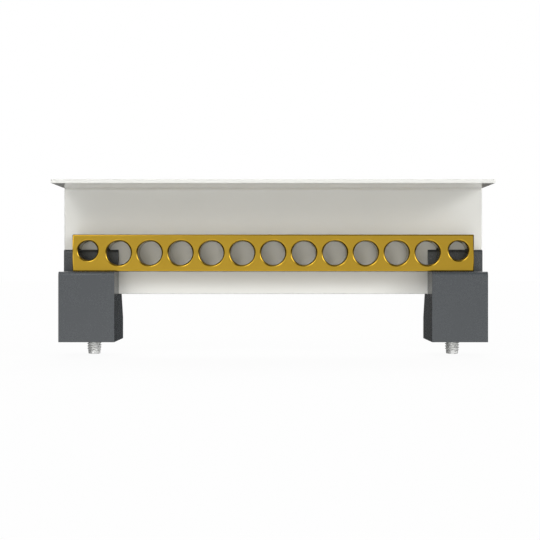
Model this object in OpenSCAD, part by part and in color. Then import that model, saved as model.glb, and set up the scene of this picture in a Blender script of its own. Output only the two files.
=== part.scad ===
/* [Terminal bar] */
// Number of wire holes along the bar
wire_hole_count = 13; // [7:1:19]
// Distance between the centres of neighbouring wire holes
wire_hole_pitch = 10; // [10:0.5:14]
// Bore of the wire holes
wire_hole_diameter = 7.75; // [6:0.05:8]
// Bore of the first and the last wire hole
end_hole_diameter = 6.2; // [5:0.1:6.6]
// Brass left above the bore of every wire hole
brass_above_hole = 2.1; // [1.5:0.05:2.5]
// Chamfer on the rim of each wire hole
hole_rim = 0.4; // [0.2:0.05:0.6]
// Height of the bar
bar_height = 12; // [12:0.1:15]
// Thickness of the bar, front to back
bar_thickness = 8; // [8:0.1:12]
// Distance from the last hole's centre to the end of the bar
bar_end_margin = 5; // [4.5:0.1:8]
// Radius on the edges of the bar
bar_edge_radius = 0.45; // [0.2:0.05:0.8]
// Core of the tapped hole for each clamping screw
clamp_core_diameter = 4.2; // [3.3:0.1:5]
// Countersink at the mouth of each tapped hole
clamp_countersink = 0.4; // [0.2:0.05:0.6]

/* [Supports] */
// Width of each support, along the bar
support_width = 18; // [16:0.5:24]
// Height of the ledge that the bar rests on
ledge_height = 22.7; // [20:0.1:35]
// Distance from the support's front face to the bar
bar_setback = 3.3; // [3:0.1:8]
// Radius on the front edge of the ledge
ledge_radius = 1.1; // [0.5:0.1:2]
// Thickness of the plastic between the ledge and the core below it
ledge_thickness = 3.2; // [2.5:0.1:4]
// Height of the lip behind the bar, above the ledge
lip_height = 7.2; // [4:0.1:9]
// Thickness of the lip
lip_thickness = 1.1; // [0.9:0.1:2]
// Radius on the front edge of the lip
lip_radius = 1; // [0.3:0.1:1.5]
// Height of the floor of the slot that the cover stands on
slot_floor_height = 15.3; // [12:0.1:17]
// Thickness of the wall between the slot and the screw pocket
slot_back_wall = 1; // [0.8:0.1:2]
// Thickness of the foot under the head of the mounting screw
foot_thickness = 7.2; // [5:0.1:9]
// Distance from the mounting screw's axis to the back of the foot
heel_length = 5.7; // [5:0.1:9]
// Angle of the support's rear face from upright, in degrees
rear_slope = 27; // [22:1:32]
// Width of the flat at the top of the rear face
rear_top_width = 1.35; // [1.1:0.05:2]
// Width of the pocket around the mounting screw's head
pocket_width = 11.2; // [10:0.1:12]
// Radius in the corners of the screw pocket
pocket_corner_radius = 2; // [0.5:0.1:2.5]
// Wall around the core in the underside of the front block
shell_wall = 2; // [1.5:0.1:2.5]
// Wall between the core and the slot
core_back_wall = 1.2; // [0.8:0.1:1.3]
// Thickness of the ribs in the core
rib_thickness = 1; // [0.8:0.1:1.4]
// Height of the lower edge of the ribs above the foot plane
rib_lift = 3; // [1:0.5:8]
// Space between each rib and the bar screw's head
rib_gap = 0.5; // [0.2:0.1:0.8]

/* [Cover profile] */
// Wall thickness of the cover profile
cover_thickness = 1.3; // [1:0.1:2.5]
// Space between the top of the bar and the flange over it
cover_headroom = 15.4; // [8:0.1:25]
// Reach of the flange forward from the front face of the wall
flange_reach = 26.75; // [18:0.05:40]
// Fillet inside the corner of the profile
cover_fillet_radius = 1; // [0.5:0.1:2]
// Radius on the edges of the profile
cover_edge_radius = 0.35; // [0.2:0.05:0.45]

/* [Mounting screws] */
// Thread diameter of the mounting screws
mount_thread = 5; // [4:0.5:5]
// Length of the mounting screws under the head
mount_length = 12; // [12:1:20]
// How far the plain shank in the foot lies below the thread's crests
mount_shank_relief = 0.25; // [0.1:0.05:0.5]
// Diameter of the mounting screw's head
mount_head_diameter = 8.5; // [7:0.1:9]
// Height of the mounting screw's head
mount_head_height = 3.3; // [2.5:0.1:4]
// Diameter of the mounting screw's tip
mount_tip_diameter = 3.8; // [3:0.1:3.9]
// Length of the tapered lead-in at the tip
mount_tip_length = 2.6; // [1:0.1:4]
// Length of the cross recess in the mounting screw's head
mount_recess_length = 4.6; // [3:0.1:5.5]
// Width of the arms of that recess
mount_recess_width = 1.2; // [0.8:0.1:1.6]
// Depth of that recess
mount_recess_depth = 1.9; // [1:0.1:2.2]

/* [Bar screws] */
// Thread diameter of the screws that hold the bar
bar_screw_thread = 4; // [3:0.5:4]
// Length of the bar screws under the head
bar_screw_length = 6; // [5.5:0.1:6.2]
// Diameter of the bar screw's head
bar_screw_head_diameter = 7; // [5.5:0.1:7.2]
// Height of the bar screw's head
bar_screw_head_height = 2.6; // [2:0.1:3]
// Diameter of the bar screw's tip
bar_screw_tip_diameter = 3.2; // [2:0.1:3.4]
// Length of the chamfer at the bar screw's tip
bar_screw_tip_length = 0.5; // [0.2:0.1:1]
// Length of the cross recess in the bar screw's head
bar_recess_length = 3.8; // [2.5:0.1:4.5]
// Width of the arms of that recess
bar_recess_width = 1; // [0.8:0.1:1.4]
// Depth of that recess
bar_recess_depth = 1.5; // [1:0.1:1.7]

/* [Fits] */
// Clearance on each side of the cover's wall in the slot
slot_clearance = 0.05; // [0.02:0.01:0.15]
// Radial clearance of a screw's thread in the hole that it passes or enters
thread_clearance = 0.05; // [0.02:0.01:0.2]
// Radial clearance of the mounting screw in the foot
foot_hole_clearance = 0.2; // [0.1:0.05:0.4]
// Clearance between the mounting screw's head and the pocket's front wall
head_clearance = 0.25; // [0.1:0.05:1]
// Chamfer around the heads of the screws
head_chamfer = 0.3; // [0.1:0.05:0.5]

/* [Hidden] */
$fn = 64;
// Overlap of a cutter past the face that it opens
past = 1;

// Along the bar: the supports stand under the first and the last hole
end_hole_x = (wire_hole_count - 1) * wire_hole_pitch / 2;
bar_length = 2 * (end_hole_x + bar_end_margin);
cover_length = 2 * end_hole_x + support_width;

// Front to back, measured from the mounting screws' axes
mount_head_radius = mount_head_diameter / 2;
pocket_front_y = -(mount_head_radius + head_clearance);
slot_width = cover_thickness + 2 * slot_clearance;
slot_back_y = pocket_front_y - slot_back_wall;
slot_front_y = slot_back_y - slot_width;
bar_back_y = slot_front_y - lip_thickness;
bar_front_y = bar_back_y - bar_thickness;
bar_centre_y = bar_back_y - bar_thickness / 2;
support_front_y = bar_front_y - bar_setback;
wall_front_y = slot_front_y + slot_clearance;

// Heights above the foot plane
bar_top_z = ledge_height + bar_height;
lip_top_z = ledge_height + lip_height;
rear_top_z = foot_thickness + (heel_length - slot_back_y - rear_top_width) / tan(rear_slope);
cover_top_z = bar_top_z + cover_headroom + cover_thickness;
cover_height = cover_top_z - slot_floor_height;
core_roof_z = ledge_height - ledge_thickness;

// x of wire hole number i, counted from the left
function hole_x(i) = i * wire_hole_pitch - end_hole_x;
function is_end(i) = i == 0 || i == wire_hole_count - 1;
function bore_of(i) = is_end(i) ? end_hole_diameter : wire_hole_diameter;
function hole_z(i) = bar_top_z - brass_above_hole - bore_of(i) / 2;

// Flat rectangle with rounded corners, its lower left corner at the origin
module rounded_rectangle(width, height, radius) {
    translate([radius, 0]) square([width - 2 * radius, height]);
    translate([0, radius]) square([width, height - 2 * radius]);
    for (x = [radius, width - radius], y = [radius, height - radius])
        translate([x, y]) circle(r = radius);
}

// Box with all its edges rounded, its lowest corner at the origin
module soft_box(size, radius) {
    intersection() {
        linear_extrude(size.z) rounded_rectangle(size.x, size.y, radius);
        translate([0, size.y, 0]) rotate([90, 0, 0])
            linear_extrude(size.y) rounded_rectangle(size.x, size.z, radius);
        rotate([90, 0, 90])
            linear_extrude(size.x) rounded_rectangle(size.y, size.z, radius);
    }
}

// Draws a side outline, given as [y, z], and extrudes it along x, centred
module side_extrude(width) {
    translate([-width / 2, 0, 0]) rotate([90, 0, 90]) linear_extrude(width) children();
}

// What a rounded corner takes off: corner at the origin, material towards -x and -y
module corner_cut(radius) {
    translate([-radius, -radius]) difference() {
        square(radius + past);
        circle(r = radius);
    }
}

// Bore along y through the bar, with a chamfered rim at both faces
module wire_hole(diameter) {
    translate([0, bar_front_y - past, 0]) rotate([-90, 0, 0])
        cylinder(d = diameter, h = bar_thickness + 2 * past);
    for (side = [0, 1])
        translate([0, side == 0 ? bar_front_y : bar_back_y, 0]) rotate([side == 0 ? -90 : 90, 0, 0])
            translate([0, 0, -hole_rim])
                cylinder(d1 = diameter + 4 * hole_rim, d2 = diameter, h = 2 * hole_rim);
}

// Brass bar with its wire holes, the tapped holes of the clamping screws above them
// and the tapped holes of the bar screws under the end holes
module terminal_bar() {
    color("goldenrod") difference() {
        translate([-bar_length / 2, bar_front_y, ledge_height])
            soft_box([bar_length, bar_thickness, bar_height], bar_edge_radius);
        for (i = [0 : wire_hole_count - 1])
            translate([hole_x(i), 0, hole_z(i)]) {
                wire_hole(bore_of(i));
                translate([0, bar_centre_y, 0]) cylinder(d = clamp_core_diameter, h = bar_height);
            }
        for (i = [0 : wire_hole_count - 1])
            translate([hole_x(i), bar_centre_y, bar_top_z - clamp_countersink])
                cylinder(d1 = clamp_core_diameter, d2 = clamp_core_diameter + 4 * clamp_countersink,
                         h = 2 * clamp_countersink);
        for (i = [0, wire_hole_count - 1])
            translate([hole_x(i), bar_centre_y, ledge_height - past])
                cylinder(r = bar_screw_thread / 2 + thread_clearance, h = hole_z(i) - ledge_height + past);
    }
}

// White L profile: wall in the supports' slots and flange over the bar
module cover_profile() {
    color("ivory") {
        translate([-cover_length / 2, wall_front_y, slot_floor_height])
            soft_box([cover_length, cover_thickness, cover_height], cover_edge_radius);
        translate([-cover_length / 2, wall_front_y - flange_reach, cover_top_z - cover_thickness])
            soft_box([cover_length, flange_reach + cover_thickness, cover_thickness], cover_edge_radius);
        translate([0, wall_front_y, cover_top_z - cover_thickness])
            side_extrude(cover_length - 2 * cover_edge_radius) difference() {
                translate([-cover_fillet_radius, -cover_fillet_radius])
                    square(cover_fillet_radius + cover_thickness / 2);
                translate([-cover_fillet_radius, -cover_fillet_radius]) circle(r = cover_fillet_radius);
            }
    }
}

// Side outline of a support: front block with a rounded ledge, lip, slot and sloping rear wall
module support_outline() {
    difference() {
        polygon([
            [support_front_y, 0], [heel_length, 0], [heel_length, foot_thickness],
            [slot_back_y + rear_top_width, rear_top_z], [slot_back_y, rear_top_z],
            [slot_back_y, slot_floor_height], [slot_front_y, slot_floor_height],
            [slot_front_y, lip_top_z], [bar_back_y, lip_top_z], [bar_back_y, ledge_height],
            [support_front_y, ledge_height]
        ]);
        translate([support_front_y, ledge_height]) mirror([1, 0]) corner_cut(ledge_radius);
        translate([bar_back_y, lip_top_z]) mirror([1, 0]) corner_cut(min(lip_radius, lip_thickness));
    }
}

// Pocket behind the slot: room for the mounting screw's head and its driver, open at the back
module screw_pocket() {
    reach = heel_length - pocket_front_y + past;
    translate([0, pocket_front_y, foot_thickness]) linear_extrude(rear_top_z) {
        translate([-pocket_width / 2, 0]) rounded_rectangle(pocket_width, reach, pocket_corner_radius);
        translate([-pocket_width / 2, pocket_corner_radius]) square([pocket_width, reach]);
    }
}

// Core moulded into the underside of the front block, with two ribs beside the bar screw
module underside_core() {
    core_width = support_width - 2 * shell_wall;
    core_front_y = support_front_y + shell_wall;
    core_length = slot_front_y - core_back_wall - core_front_y;
    rib_x = bar_screw_head_diameter / 2 + rib_gap;
    difference() {
        translate([-core_width / 2, core_front_y, -past]) cube([core_width, core_length, core_roof_z + past]);
        for (side = [-1, 1])
            translate([side * (rib_x + rib_thickness / 2) - rib_thickness / 2, core_front_y, rib_lift])
                cube([rib_thickness, core_length, core_roof_z]);
    }
}

// Moulded support, drawn about the mounting screw's axis
module support() {
    difference() {
        side_extrude(support_width) support_outline();
        screw_pocket();
        underside_core();
        translate([0, 0, -past])
            cylinder(r = mount_thread / 2 + foot_hole_clearance, h = foot_thickness + 2 * past);
        translate([0, bar_centre_y, core_roof_z - past])
            cylinder(r = bar_screw_thread / 2 + thread_clearance, h = ledge_thickness + 2 * past);
    }
}

module support_left() {
    color("dimgray") translate([-end_hole_x, 0, 0]) support();
}

module support_right() {
    color("dimgray") translate([end_hole_x, 0, 0]) support();
}

// Cheese-head screw, head down, its bearing face at z = 0 and its tip pointing up.
// shank and tip are [diameter, length], head is [diameter, height], recess [length, width, depth]
module screw(thread, length, shank, head, tip, recess) {
    difference() {
        union() {
            translate([0, 0, -head_chamfer]) cylinder(d = shank[0], h = shank[1] + head_chamfer);
            translate([0, 0, shank[1]]) cylinder(d = thread, h = length - shank[1] - tip[1]);
            translate([0, 0, length - tip[1]]) cylinder(d1 = thread, d2 = tip[0], h = tip[1]);
            translate([0, 0, head_chamfer - head[1]]) cylinder(d = head[0], h = head[1] - head_chamfer);
            translate([0, 0, -head[1]])
                cylinder(d1 = head[0] - 2 * head_chamfer, d2 = head[0], h = head_chamfer);
        }
        for (turn = [0, 90])
            rotate([0, 0, turn]) translate([-recess[0] / 2, -recess[1] / 2, -head[1] - past])
                cube([recess[0], recess[1], recess[2] + past]);
    }
}

module mounting_screw() {
    color("silver") translate([0, 0, foot_thickness]) rotate([180, 0, 0])
        screw(mount_thread, mount_length, [mount_thread - 2 * mount_shank_relief, foot_thickness],
              [mount_head_diameter, mount_head_height],
              [mount_tip_diameter, mount_tip_length],
              [mount_recess_length, mount_recess_width, mount_recess_depth]);
}

module mounting_screw_left() {
    translate([-end_hole_x, 0, 0]) mounting_screw();
}

module mounting_screw_right() {
    translate([end_hole_x, 0, 0]) mounting_screw();
}

module bar_screw() {
    color("silver") translate([0, bar_centre_y, core_roof_z])
        screw(bar_screw_thread, bar_screw_length, [bar_screw_thread, 0],
              [bar_screw_head_diameter, bar_screw_head_height],
              [bar_screw_tip_diameter, bar_screw_tip_length],
              [bar_recess_length, bar_recess_width, bar_recess_depth]);
}

module bar_screw_left() {
    translate([-end_hole_x, 0, 0]) bar_screw();
}

module bar_screw_right() {
    translate([end_hole_x, 0, 0]) bar_screw();
}

terminal_bar();
cover_profile();
support_left();
support_right();
mounting_screw_left();
mounting_screw_right();
bar_screw_left();
bar_screw_right();
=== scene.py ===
import math

import bmesh
import bpy
from mathutils import Matrix, Vector


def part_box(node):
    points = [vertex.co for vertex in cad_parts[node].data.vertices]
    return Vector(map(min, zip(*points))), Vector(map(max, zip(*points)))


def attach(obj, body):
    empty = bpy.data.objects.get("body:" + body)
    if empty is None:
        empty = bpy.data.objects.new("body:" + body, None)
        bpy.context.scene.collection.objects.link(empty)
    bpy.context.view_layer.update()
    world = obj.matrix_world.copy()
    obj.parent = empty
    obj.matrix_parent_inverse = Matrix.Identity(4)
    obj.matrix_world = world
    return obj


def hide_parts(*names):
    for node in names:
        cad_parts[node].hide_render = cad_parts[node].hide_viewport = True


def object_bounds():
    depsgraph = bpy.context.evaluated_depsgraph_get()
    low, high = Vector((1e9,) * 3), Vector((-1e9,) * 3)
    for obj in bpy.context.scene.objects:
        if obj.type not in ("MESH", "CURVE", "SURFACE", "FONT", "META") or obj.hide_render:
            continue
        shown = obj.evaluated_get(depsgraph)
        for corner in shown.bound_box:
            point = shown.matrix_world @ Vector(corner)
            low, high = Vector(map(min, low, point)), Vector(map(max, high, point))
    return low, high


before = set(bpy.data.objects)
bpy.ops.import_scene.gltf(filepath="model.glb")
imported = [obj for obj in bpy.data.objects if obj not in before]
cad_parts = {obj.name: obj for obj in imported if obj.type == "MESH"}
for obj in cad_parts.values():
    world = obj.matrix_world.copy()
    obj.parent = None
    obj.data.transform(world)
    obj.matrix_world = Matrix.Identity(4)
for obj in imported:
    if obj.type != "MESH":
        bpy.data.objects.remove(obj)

mm = 0.001
scene = bpy.context.scene
cadBox = [list(corner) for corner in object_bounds()]
print("frame:", len(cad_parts), "nodes")


# camera: level, square on to the supports' front faces
cameraPlace = {"distance": 422.7 * mm, "height": 23.2 * mm, "lens": 87.8, "sideShift": -0.0059,
               "clipStart": 0.01, "clipEnd": 20}

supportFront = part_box("support_left")[0].y
cameraData = bpy.data.cameras.new("frontCamera")
cameraData.lens = cameraPlace["lens"]
cameraData.shift_x = cameraPlace["sideShift"]
cameraData.clip_start = cameraPlace["clipStart"]
cameraData.clip_end = cameraPlace["clipEnd"]
camera = bpy.data.objects.new("frontCamera", cameraData)
camera.location = (0, supportFront - cameraPlace["distance"], cameraPlace["height"])
camera.rotation_euler = (math.radians(90), 0, 0)
scene.collection.objects.link(camera)
scene.camera = camera
scene.view_settings.view_transform = "Standard"
print("camera:", tuple(round(v, 4) for v in camera.location))


# a shader socket that can be used in sums
class Signal:
    def __init__(self, finish, socket):
        self.finish = finish
        self.socket = socket

    def maths(self, operation, *values):
        sockets = dict(enumerate(values))
        return self.finish.add("ShaderNodeMath", {"operation": operation}, sockets)

    def __add__(self, other):
        return self.maths("ADD", self, other)

    def __radd__(self, other):
        return self.maths("ADD", other, self)

    def __sub__(self, other):
        return self.maths("SUBTRACT", self, other)

    def __rsub__(self, other):
        return self.maths("SUBTRACT", other, self)

    def __mul__(self, other):
        return self.maths("MULTIPLY", self, other)

    def __rmul__(self, other):
        return self.maths("MULTIPLY", other, self)

    def __pow__(self, other):
        return self.maths("POWER", self, other)

    def clamped(self):
        return self.finish.add("ShaderNodeClamp", {}, {"Value": self})

    def step(self, low, high):  # 0 below low, 1 above high, smooth between
        settings = {"interpolation_type": "SMOOTHSTEP"}
        return self.finish.add("ShaderNodeMapRange", settings,
                               {"Value": self, "From Min": low, "From Max": high})


# the nodes of one material or of the world
class Finish:
    def __init__(self, tree):
        self.tree = tree

    def add(self, kind, settings, sockets, output=0):
        node = self.tree.nodes.new(kind)
        for name, value in settings.items():
            setattr(node, name, value)
        for name, value in sockets.items():
            target = node.inputs[name]
            if isinstance(value, Signal):
                self.tree.links.new(value.socket, target)
            else:
                target.default_value = value
        return Signal(self, node.outputs[output]) if len(node.outputs) else None

    def blend(self, factor, first, second):
        settings = {"data_type": "RGBA", "blend_type": "MIX"}
        return self.add("ShaderNodeMix", settings, {0: factor, 6: first, 7: second}, 2)

    def place(self, stretch=(1, 1, 1)):  # object coordinates, in metres, stretched per axis
        spot = self.add("ShaderNodeTexCoord", {}, {}, "Object")
        return self.add("ShaderNodeMapping", {}, {"Vector": spot, "Scale": stretch})

    def parts(self, vector):  # x, y and z of a vector
        first = self.add("ShaderNodeSeparateXYZ", {}, {"Vector": vector})
        return [Signal(self, socket) for socket in first.socket.node.outputs]

    def noise(self, vector, scale, detail=2.0, roughness=0.5):
        return self.add("ShaderNodeTexNoise", {}, {"Vector": vector, "Scale": scale,
                                                   "Detail": detail, "Roughness": roughness})

    def bump(self, height, distance, strength=1.0, normal=None):
        sockets = {"Height": height, "Distance": distance, "Strength": strength}
        if normal is not None:
            sockets["Normal"] = normal
        return self.add("ShaderNodeBump", {}, sockets)

    def surface(self, **sockets):
        named = {name.replace("_", " "): value for name, value in sockets.items()}
        shader = self.add("ShaderNodeBsdfPrincipled", {}, named)
        self.add("ShaderNodeOutputMaterial", {}, {"Surface": shader})


def newFinish(name):
    material = bpy.data.materials.new(name)
    material.use_nodes = True
    material.node_tree.nodes.clear()
    return material, Finish(material.node_tree)


def tone(red, green, blue):  # sRGB 0-255 to linear
    def linear(value):
        value /= 255
        return value / 12.92 if value <= 0.04045 else ((value + 0.055) / 1.055) ** 2.4
    return (linear(red), linear(green), linear(blue), 1)


# the greyer bore tone is a painted reflection on the bores and the bar's back, so what they mirror
# reads grey
brassLook = {"light": tone(169, 138, 47), "deep": tone(160, 129, 42), "bore": tone(160, 148, 112),
             "roughness": 0.34, "boreRoughness": 0.2, "rimRoughness": 0.17,
             "cloudScale": 90, "lineScale": (40, 2600, 2600), "fineScale": 2600,
             "drillScale": (60, 5200, 60), "lineDepth": 0.004 * mm, "lineStrength": 0.6,
             "holePitch": 10 * mm, "holeTop": 2.1 * mm, "boreRadius": 3.875 * mm,
             "boreReach": 3.95 * mm, "rim": 0.45 * mm, "fade": 0.05 * mm,
             "faceSkin": (0.005 * mm, 0.02 * mm), "backSkin": 0.5 * mm}


def makeBrass():
    material, finish = newFinish("drawnBrass")
    spot = finish.place()
    clouds = finish.noise(spot, brassLook["cloudScale"], 3)
    drawn = finish.noise(finish.place(brassLook["lineScale"]), 1, 4, 0.6)  # fine lines along the bar
    fine = finish.noise(spot, brassLook["fineScale"], 2)
    # drilled walls lie deeper than the rim, near a hole's axis; they are smoother, and they and the
    # back get a greyer tone, a painted reflection: it makes what they mirror, and the light they throw
    # on the wall, read grey instead of brass
    low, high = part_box("terminal_bar")
    x, y, z = finish.parts(spot)
    pitch, fade, rim = brassLook["holePitch"], brassLook["fade"], brassLook["rim"]
    acrossHole = (x + 0.5 * pitch).maths("WRAP", x + 0.5 * pitch, pitch, 0) - 0.5 * pitch
    aboveHole = z - (high.z - brassLook["holeTop"] - brassLook["boreRadius"])
    fromAxis = (acrossHole * acrossHole + aboveHole * aboveHole) ** 0.5
    inBore = 1 - fromAxis.step(brassLook["boreReach"], brassLook["boreReach"] + fade)
    depth = y - low.y
    backStart = high.y - low.y - brassLook["backSkin"]
    smoothDrilledPaintedGrey = (inBore * depth.step(rim - fade, rim + fade)
               + depth.step(backStart, backStart + 2 * fade)).clamped()
    drillRings = finish.noise(finish.place(brassLook["drillScale"]), 1, 2)
    colour = finish.blend((clouds + drawn * 0.4 - 0.2).clamped(), brassLook["deep"], brassLook["light"])
    # painted reflection: the bores and the back take the greyer tone in place of brass
    colour = finish.blend(smoothDrilledPaintedGrey, colour, brassLook["bore"])
    rough = brassLook["roughness"] + (drawn - 0.5) * 0.12 + (clouds - 0.5) * 0.08 + (fine - 0.5) * 0.04
    smoother = brassLook["boreRoughness"] - brassLook["roughness"]
    rough = rough + smoothDrilledPaintedGrey * (smoother + (drillRings - 0.5) * 0.1)
    # rims and long edges were cut after drawing and are brighter than the face
    cut = depth.step(*brassLook["faceSkin"]) * (1 - depth.step(rim, rim + 2 * fade))
    rough = rough + cut * (brassLook["rimRoughness"] - brassLook["roughness"])
    lines = finish.bump(drawn, brassLook["lineDepth"], brassLook["lineStrength"])
    finish.surface(Base_Color=colour, Metallic=1.0, Roughness=rough, Normal=lines)
    return material


coverLook = {"plain": tone(237, 237, 232), "shade": tone(232, 232, 227), "roughness": 0.15,
             "cloudScale": 45, "pullScale": (6, 900, 900), "fineScale": 1400,
             "pullDepth": 0.0012 * mm, "fineDepth": 0.0006 * mm, "strength": 0.3}


def makeCoverPlastic():
    material, finish = newFinish("glossWhitePlastic")
    spot = finish.place()
    clouds = finish.noise(spot, coverLook["cloudScale"], 3)
    pull = finish.noise(finish.place(coverLook["pullScale"]), 1, 3, 0.6)  # faint extrusion lines
    fine = finish.noise(spot, coverLook["fineScale"], 2)
    colour = finish.blend(clouds, coverLook["shade"], coverLook["plain"])
    rough = coverLook["roughness"] + (pull - 0.5) * 0.06 + (fine - 0.5) * 0.03
    skin = finish.bump(pull, coverLook["pullDepth"], coverLook["strength"])
    skin = finish.bump(fine, coverLook["fineDepth"], coverLook["strength"], skin)
    finish.surface(Base_Color=colour, Roughness=rough, Normal=skin)
    return material


supportLook = {"plain": tone(70, 74, 77), "shade": tone(65, 69, 72), "roughness": 0.27,
               "cloudScale": 120, "grainScale": 3200, "pitScale": 2400,
               "grainDepth": 0.0025 * mm, "grainStrength": 0.4,
               "pitDepth": 0.0012 * mm, "pitStrength": 0.3}


def makeSupportPlastic():
    material, finish = newFinish("darkMouldedPlastic")
    spot = finish.place()
    clouds = finish.noise(spot, supportLook["cloudScale"], 3)
    grain = finish.noise(spot, supportLook["grainScale"], 3, 0.6)  # spark-eroded mould surface
    pits = finish.add("ShaderNodeTexVoronoi", {}, {"Vector": spot, "Scale": supportLook["pitScale"]})
    mottle = (clouds * 0.8 + grain * 0.3).clamped()
    colour = finish.blend(mottle, supportLook["shade"], supportLook["plain"])
    rough = supportLook["roughness"] + (grain - 0.5) * 0.06 + (clouds - 0.5) * 0.04
    skin = finish.bump(grain, supportLook["grainDepth"], supportLook["grainStrength"])
    skin = finish.bump(pits, supportLook["pitDepth"], supportLook["pitStrength"], skin)
    finish.surface(Base_Color=colour, Roughness=rough, Normal=skin)
    return material


steelLook = {"plain": tone(246, 246, 242), "cool": tone(238, 239, 239), "metal": 0.45,
             "roughness": 0.42, "cloudScale": 700, "fineScale": 5200,
             "fineDepth": 0.001 * mm, "strength": 0.5}


def makeScrewSteel():
    material, finish = newFinish("zincPlatedSteel")
    spot = finish.place()
    clouds = finish.noise(spot, steelLook["cloudScale"], 3)
    fine = finish.noise(spot, steelLook["fineScale"], 2)
    colour = finish.blend(clouds, steelLook["cool"], steelLook["plain"])
    rough = steelLook["roughness"] + (clouds - 0.5) * 0.06 + (fine - 0.5) * 0.04
    finish.surface(Base_Color=colour, Metallic=steelLook["metal"], Roughness=rough,
                   Normal=finish.bump(fine, steelLook["fineDepth"], steelLook["strength"]))
    return material


brass = makeBrass()
coverPlastic = makeCoverPlastic()
supportPlastic = makeSupportPlastic()
screwSteel = makeScrewSteel()
print("finishes: brass, cover plastic, support plastic, screw steel")


def addPiece(name, mesh, material, slot, *nodes):
    mesh.name = name
    mesh.materials.clear()
    mesh.materials.append(material)
    piece = bpy.data.objects.new(name, mesh)
    scene.collection.objects.link(piece)
    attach(piece, "root")
    if nodes:
        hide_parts(*nodes)
    return piece


def meshOf(bm, name, sharpAngle=35):
    mesh = bpy.data.meshes.new(name)
    bm.to_mesh(mesh)
    bm.free()
    mesh.shade_smooth()
    mesh.set_sharp_from_angle(angle=math.radians(sharpAngle))
    return mesh


def plainMesh(bm, name, sharpAngle=35):  # a copied node's mesh, without the normals it came with
    mesh = meshOf(bm, name, sharpAngle)
    if "custom_normal" in mesh.attributes:
        mesh.attributes.remove(mesh.attributes["custom_normal"])
    return mesh


def evenShading(piece):
    even = piece.modifiers.new("evenNormals", "WEIGHTED_NORMAL")
    even.keep_sharp = True
    even.weight = 100


nodeCopy = {"mergeWithin": 0.002 * mm, "flatWithin": 1}


def mergedCopy(node):  # the node's mesh with its loose triangles joined and flat faces cleared
    bm = bmesh.new()
    bm.from_mesh(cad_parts[node].data)
    bmesh.ops.remove_doubles(bm, verts=bm.verts, dist=nodeCopy["mergeWithin"])
    bmesh.ops.dissolve_limit(bm, angle_limit=math.radians(nodeCopy["flatWithin"]),
                             verts=bm.verts, edges=bm.edges)
    return bm


# cover profile: the node itself
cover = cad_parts["cover_profile"]
cover.data.materials.clear()
cover.data.materials.append(coverPlastic)
print("cover:", len(cover.data.polygons), "faces")


# terminal bar: both edges of each chamfered rim are broken, so that it catches light all round
barRims = {"depth": 0.4 * mm, "radius": 0.24 * mm, "segments": 4, "leastAngle": 35,
           "mostAngle": 55, "onPlane": 2e-6, "sharpAngle": 62}


def roundRims(bm):
    low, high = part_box("terminal_bar")
    planes = [low.y, low.y + barRims["depth"], high.y, high.y - barRims["depth"]]
    least, most = math.radians(barRims["leastAngle"]), math.radians(barRims["mostAngle"])
    near = barRims["onPlane"]
    edges = []
    for e in bm.edges:
        a, b = (v.co.y for v in e.verts)
        onPlane = any(abs(a - y) < near and abs(b - y) < near for y in planes)
        if onPlane and len(e.link_faces) == 2 and least < e.calc_face_angle_signed(0) < most:
            edges.append(e)
    bmesh.ops.bevel(bm, geom=edges, offset=barRims["radius"], offset_type="OFFSET",
                    affect="EDGES", segments=barRims["segments"], profile=0.5, material=-1,
                    clamp_overlap=False)


bm = mergedCopy("terminal_bar")
roundRims(bm)
mesh = plainMesh(bm, "drilledBar", barRims["sharpAngle"])
evenShading(addPiece("drilledBar", mesh, brass, "bar_brass", "terminal_bar"))
print("bar:", len(mesh.polygons), "faces")


# supports: the mouldings with their outer edges just broken
supportEdges = {"radius": 0.16 * mm, "segments": 3, "sharper": 40}


def softenedCopy(node):
    bm = mergedCopy(node)
    corner = math.radians(supportEdges["sharper"])
    edges = [e for e in bm.edges if len(e.link_faces) == 2 and e.calc_face_angle_signed(0) > corner]
    bmesh.ops.bevel(bm, geom=edges, offset=supportEdges["radius"], offset_type="OFFSET",
                    affect="EDGES", segments=supportEdges["segments"], profile=0.5, material=-1,
                    clamp_overlap=True)
    return bm


for side in ("left", "right"):
    node = "support_" + side
    mesh = plainMesh(softenedCopy(node), "support")
    support = addPiece("mouldedSupport_" + side, mesh, supportPlastic, "support_plastic", node)
    evenShading(support)
    print("support", side + ":", len(mesh.polygons), "faces")


# thread in the clamping screws' tapped holes, along the top of the bar; lengths in mm
clampThread = {"count": 13, "core": 4.2, "stand": 0.26, "sunk": 0.05, "halfWidth": 0.32,
               "pitch": 0.8, "depth": 1.9, "mouth": 0.5, "turnSteps": 28}


def clampThreadMesh():
    bm = bmesh.new()
    low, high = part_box("terminal_bar")
    wall, pitch, steps = clampThread["core"] / 2, clampThread["pitch"], clampThread["turnSteps"]
    turns = (clampThread["depth"] - clampThread["mouth"]) / pitch
    base, tall = wall + clampThread["sunk"], clampThread["halfWidth"]
    outline = [(base, -tall), (wall - clampThread["stand"], 0), (base, tall)]
    bottom = high.z / mm - clampThread["depth"]
    last = clampThread["count"] // 2
    for count in range(-last, last + 1):
        centre = Vector((count * brassLook["holePitch"], (low.y + high.y) / 2, bottom * mm))
        verts = [bm.verts.new(centre + Vector((r * mm, 0, z * mm))) for r, z in outline]
        ridge = [bm.edges.new(pair) for pair in zip(verts, verts[1:] + verts[:1])]
        bmesh.ops.edgeloop_fill(bm, edges=ridge)
        swept = bmesh.ops.spin(bm, geom=verts + ridge, cent=centre, axis=(0, 0, 1),
                               dvec=(0, 0, pitch * mm / steps), angle=math.tau * turns,
                               steps=round(steps * turns))
        ends = [g for g in swept["geom_last"] if isinstance(g, bmesh.types.BMEdge)]
        bmesh.ops.edgeloop_fill(bm, edges=ends)
    bmesh.ops.recalc_face_normals(bm, faces=bm.faces)
    return meshOf(bm, "clampThreads")


mesh = clampThreadMesh()
addPiece("clampThreads", mesh, brass, "bar_brass")
print("clamp threads:", len(mesh.polygons), "faces")


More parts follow.
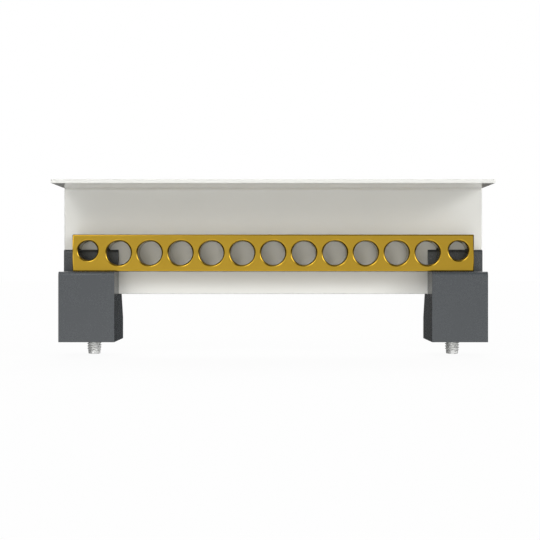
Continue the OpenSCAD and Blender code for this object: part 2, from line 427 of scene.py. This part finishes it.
# screws: cheese head with a cross recess, plain shank and a rolled thread; lengths in mm
mountScrew = {"head": 8.5, "headHeight": 3.3, "shank": 4.5, "shankLength": 7.2, "crest": 4.7,
              "root": 3.96, "pitch": 0.8, "length": 12, "runOut": (10.2, 11.3),
              "slotLength": 4.6, "slotWidth": 1.05, "slotDepth": 1.9}
barScrew = {"head": 7.0, "headHeight": 2.6, "shank": 3.3, "shankLength": 0.6, "crest": 3.8,
            "root": 3.2, "pitch": 0.7, "length": 6, "runOut": (4.6, 5.4),
            "slotLength": 3.8, "slotWidth": 0.9, "slotDepth": 1.5}
screwForm = {"turnSteps": 48, "tipLength": 0.35, "tipRings": ((0.985, 0.18), (0.95, 0.06), (0.89, 0)),
             "neck": 0.05, "seatChamfer": 0.12, "crown": ((0, 0.35), (0.1, 0.11), (0.35, 0)),
             "slotTaper": 0.55, "slotEdge": 0.06,
             # thread outline: 0 at the root or 1 at the crest, then the part of a pitch
             "flank": ((0, 0), (0, 0.25), (1, 0.55), (1, 0.7), (0, 1))}


def nextRing(bm, rim, radius, height):  # draws an open rim out to a round ring, with faces between
    made = bmesh.ops.extrude_edge_only(bm, edges=rim)["geom"]
    verts = {g for g in made if isinstance(g, bmesh.types.BMVert)}
    for v in verts:
        around = math.atan2(v.co.y, v.co.x)
        v.co = Vector((radius * math.cos(around), radius * math.sin(around), height)) * mm
    return [g for g in made if isinstance(g, bmesh.types.BMEdge) and set(g.verts) <= verts]


def openRim(bm, height):
    return [e for e in bm.edges if len(e.link_faces) < 2
            and all(abs(v.co.z - height * mm) < 1e-6 for v in e.verts)]


def threadPart(bm, look):
    # one pitch of the thread's outline, swept up a screw line and cut off square at both ends
    pitch, steps = look["pitch"], screwForm["turnSteps"]
    root, crest = look["root"] / 2, look["crest"] / 2
    start, end = look["shankLength"], look["length"] - screwForm["tipLength"]
    turns = math.ceil((end - start) / pitch) + 3
    low = start - 1.5 * pitch
    verts = [bm.verts.new((0, -(crest if raised else root) * mm, (low + part * pitch) * mm))
             for raised, part in screwForm["flank"]]
    edges = [bm.edges.new(pair) for pair in zip(verts, verts[1:])]
    bmesh.ops.spin(bm, geom=verts + edges, cent=(0, 0, 0), axis=(0, 0, 1),
                   dvec=(0, 0, pitch * mm / steps), angle=math.tau * turns, steps=steps * turns)
    bmesh.ops.remove_doubles(bm, verts=bm.verts, dist=0.0005 * mm)
    for height, below in ((start, True), (end, False)):
        bmesh.ops.bisect_plane(bm, geom=bm.verts[:] + bm.edges[:] + bm.faces[:], dist=1e-7,
                               plane_co=(0, 0, height * mm), plane_no=(0, 0, 1),
                               clear_inner=below, clear_outer=not below)
    # the crests run out shortly before the tip
    runStart, runEnd = look["runOut"]
    for v in bm.verts:
        run = min(max((v.co.z / mm - runStart) / (runEnd - runStart), 0), 1)
        limit = (crest + (root - crest) * run) * mm
        shrink = min(limit / math.hypot(v.co.x, v.co.y), 1)
        v.co.x *= shrink
        v.co.y *= shrink


def tipPart(bm, look):  # rounded over in rings, then a flat end
    rim = openRim(bm, look["length"] - screwForm["tipLength"])
    for shrink, height in screwForm["tipRings"]:
        rim = nextRing(bm, rim, look["root"] / 2 * shrink, look["length"] - height)
    bmesh.ops.edgeloop_fill(bm, edges=rim)


def headPart(bm, look):  # shank and head, ring by ring from the thread to the rim of the head's face
    shank, head, tall = look["shank"] / 2, look["head"] / 2, look["headHeight"]
    chamfer = screwForm["seatChamfer"]
    rings = [(shank, look["shankLength"] - screwForm["neck"]), (shank, 0),
             (head - chamfer, 0), (head, -chamfer)]
    rings += [(head - inset, -tall + height) for inset, height in screwForm["crown"]]
    rim = openRim(bm, look["shankLength"])
    for radius, height in rings:
        rim = nextRing(bm, rim, radius, height)
    return rim


def recessPart(bm, look, rim):  # a cross in the head's face, narrowed towards its floor
    arm, half, tall = look["slotLength"] / 2, look["slotWidth"] / 2, look["headHeight"]
    corners = [(arm, half), (half, half), (half, arm)]
    outline = []
    for quarter in range(4):
        turn = Matrix.Rotation(math.tau * quarter / 4, 3, "Z")
        outline += [turn @ Vector((x, y, 0)) for x, y in corners]
    verts = [bm.verts.new((p.x * mm, p.y * mm, -tall * mm)) for p in outline]
    cross = [bm.edges.new((a, b)) for a, b in zip(verts, verts[1:] + verts[:1])]
    bmesh.ops.triangle_fill(bm, edges=rim + cross, use_beauty=True)
    made = bmesh.ops.extrude_edge_only(bm, edges=cross)["geom"]
    floor = [g for g in made if isinstance(g, bmesh.types.BMVert)]
    taper = screwForm["slotTaper"]
    for v in floor:
        v.co = Vector((v.co.x * taper, v.co.y * taper, v.co.z + look["slotDepth"] * mm))
    floorEdges = [g for g in made if isinstance(g, bmesh.types.BMEdge)
                  and all(v in floor for v in g.verts)]
    bmesh.ops.edgeloop_fill(bm, edges=floorEdges)
    bmesh.ops.bevel(bm, geom=cross, offset=screwForm["slotEdge"] * mm, offset_type="OFFSET",
                    affect="EDGES", segments=2, profile=0.5, material=-1)


def makeScrew(look, name, place, upright):
    # built along z with its bearing face at 0, the head below it and the tip at z = length
    bm = bmesh.new()
    threadPart(bm, look)
    tipPart(bm, look)
    recessPart(bm, look, headPart(bm, look))
    bmesh.ops.recalc_face_normals(bm, faces=bm.faces)
    turned = Matrix.Identity(4) if upright else Matrix.Rotation(math.pi, 4, "X")
    bmesh.ops.transform(bm, matrix=Matrix.Translation(place) @ turned, verts=bm.verts)
    return meshOf(bm, name)


for side in ("left", "right"):
    node = "mounting_screw_" + side
    low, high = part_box(node)
    seat = high.z - mountScrew["headHeight"] * mm
    place = Vector(((low.x + high.x) / 2, (low.y + high.y) / 2, seat))
    mesh = makeScrew(mountScrew, "mountingScrew", place, False)
    addPiece("mountingScrew_" + side, mesh, screwSteel, "screw_steel", node)
    print("mounting screw", side + ":", len(mesh.polygons), "faces")
    node = "bar_screw_" + side
    low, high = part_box(node)
    seat = low.z + barScrew["headHeight"] * mm
    place = Vector(((low.x + high.x) / 2, (low.y + high.y) / 2, seat))
    mesh = makeScrew(barScrew, "barScrew", place, True)
    addPiece("barScrew_" + side, mesh, screwSteel, "screw_steel", node)
    print("bar screw", side + ":", len(mesh.polygons), "faces")


# floor: plain white to the camera, with a trace of the object's shadow
room = {"floorSize": 6.0, "drop": 0.01 * mm, "paint": 0.85, "glow": 0.95}

floorMesh = bpy.data.meshes.new("floor")
bm = bmesh.new()
bmesh.ops.create_grid(bm, x_segments=1, y_segments=1, size=room["floorSize"] / 2)
bmesh.ops.translate(bm, verts=bm.verts, vec=(0, 0, cadBox[0][2] - room["drop"]))
bm.to_mesh(floorMesh)
bm.free()
floor = bpy.data.objects.new("floor", floorMesh)
floor.visible_diffuse = False
floor.visible_glossy = False
floor.visible_shadow = False
scene.collection.objects.link(floor)


def makeFloorPaint():
    material, finish = newFinish("whiteFloor")
    paint = room["paint"]
    matt = finish.add("ShaderNodeBsdfDiffuse", {}, {"Color": (paint, paint, paint, 1)})
    glow = finish.add("ShaderNodeEmission", {}, {"Color": (1, 1, 1, 1), "Strength": 1.0})
    seen = finish.add("ShaderNodeLightPath", {}, {}, "Is Camera Ray")
    mixed = finish.add("ShaderNodeMixShader", {}, {0: seen * room["glow"], 1: matt, 2: glow})
    finish.add("ShaderNodeOutputMaterial", {}, {"Surface": mixed})
    return material


floorMesh.materials.append(makeFloorPaint())
print("floor: set")


# light: a white surround to look at, and soft studio lamps as lobes of the sky
studio = {"lamps": [  # azimuth from the front towards +x, elevation, brightness, sharpness
              (-19, 30, 9.0, 130),  # main lamp, high and a little left
              (-38, 14, 2.1, 60),
              (46, 20, 8.8, 90),  # second lamp, high right
              (75, 16, 2.2, 60),
              (108, 18, 1.9, 34),
              (30, -58, 0.6, 34),  # light thrown back up from the bench
              (-5, -58, 1.5, 34),
              (-11, -17, 2.7, 60),
              (12, -6, 1.1, 34),
              (35, -38, 0.8, 34),
              (-130, 20, 0.3, 12),  # behind and above
              (180, 45, 4.4, 34),
              (150, 62, 0.9, 34),
              (-150, 62, 0.9, 34)],
          "dim": 0.01, "mirrored": 0.02}


def lampDirection(azimuth, elevation):
    around, up = math.radians(azimuth), math.radians(elevation)
    return (math.sin(around) * math.cos(up), -math.cos(around) * math.cos(up), math.sin(up))


def makeWorld():
    world = bpy.data.worlds.new("studio")
    scene.world = world
    world.use_nodes = True
    world.node_tree.nodes.clear()
    finish = Finish(world.node_tree)
    ahead = finish.add("ShaderNodeTexCoord", {}, {}, "Generated")
    level = studio["dim"]
    for azimuth, elevation, brightness, sharpness in studio["lamps"]:
        sockets = {0: ahead, 1: lampDirection(azimuth, elevation)}
        facing = finish.add("ShaderNodeVectorMath", {"operation": "DOT_PRODUCT"}, sockets, "Value")
        level = level + (0.5 + 0.5 * facing) ** sharpness * brightness
    colour = finish.add("ShaderNodeCombineColor", {}, {"Red": level, "Green": level, "Blue": level})
    camera, glossy, through = [finish.add("ShaderNodeLightPath", {}, {}, name)
                               for name in ("Is Camera Ray", "Is Glossy Ray", "Is Transmission Ray")]
    seen = (camera + through + glossy * studio["mirrored"]).clamped()
    plain = finish.add("ShaderNodeBackground", {}, {"Color": (1, 1, 1, 1), "Strength": 1.0})
    light = finish.add("ShaderNodeBackground", {}, {"Color": colour, "Strength": 1.0})
    mixed = finish.add("ShaderNodeMixShader", {}, {0: seen, 1: light, 2: plain})
    finish.add("ShaderNodeOutputWorld", {}, {"Surface": mixed})


makeWorld()
print("light:", len(studio["lamps"]), "lamps")
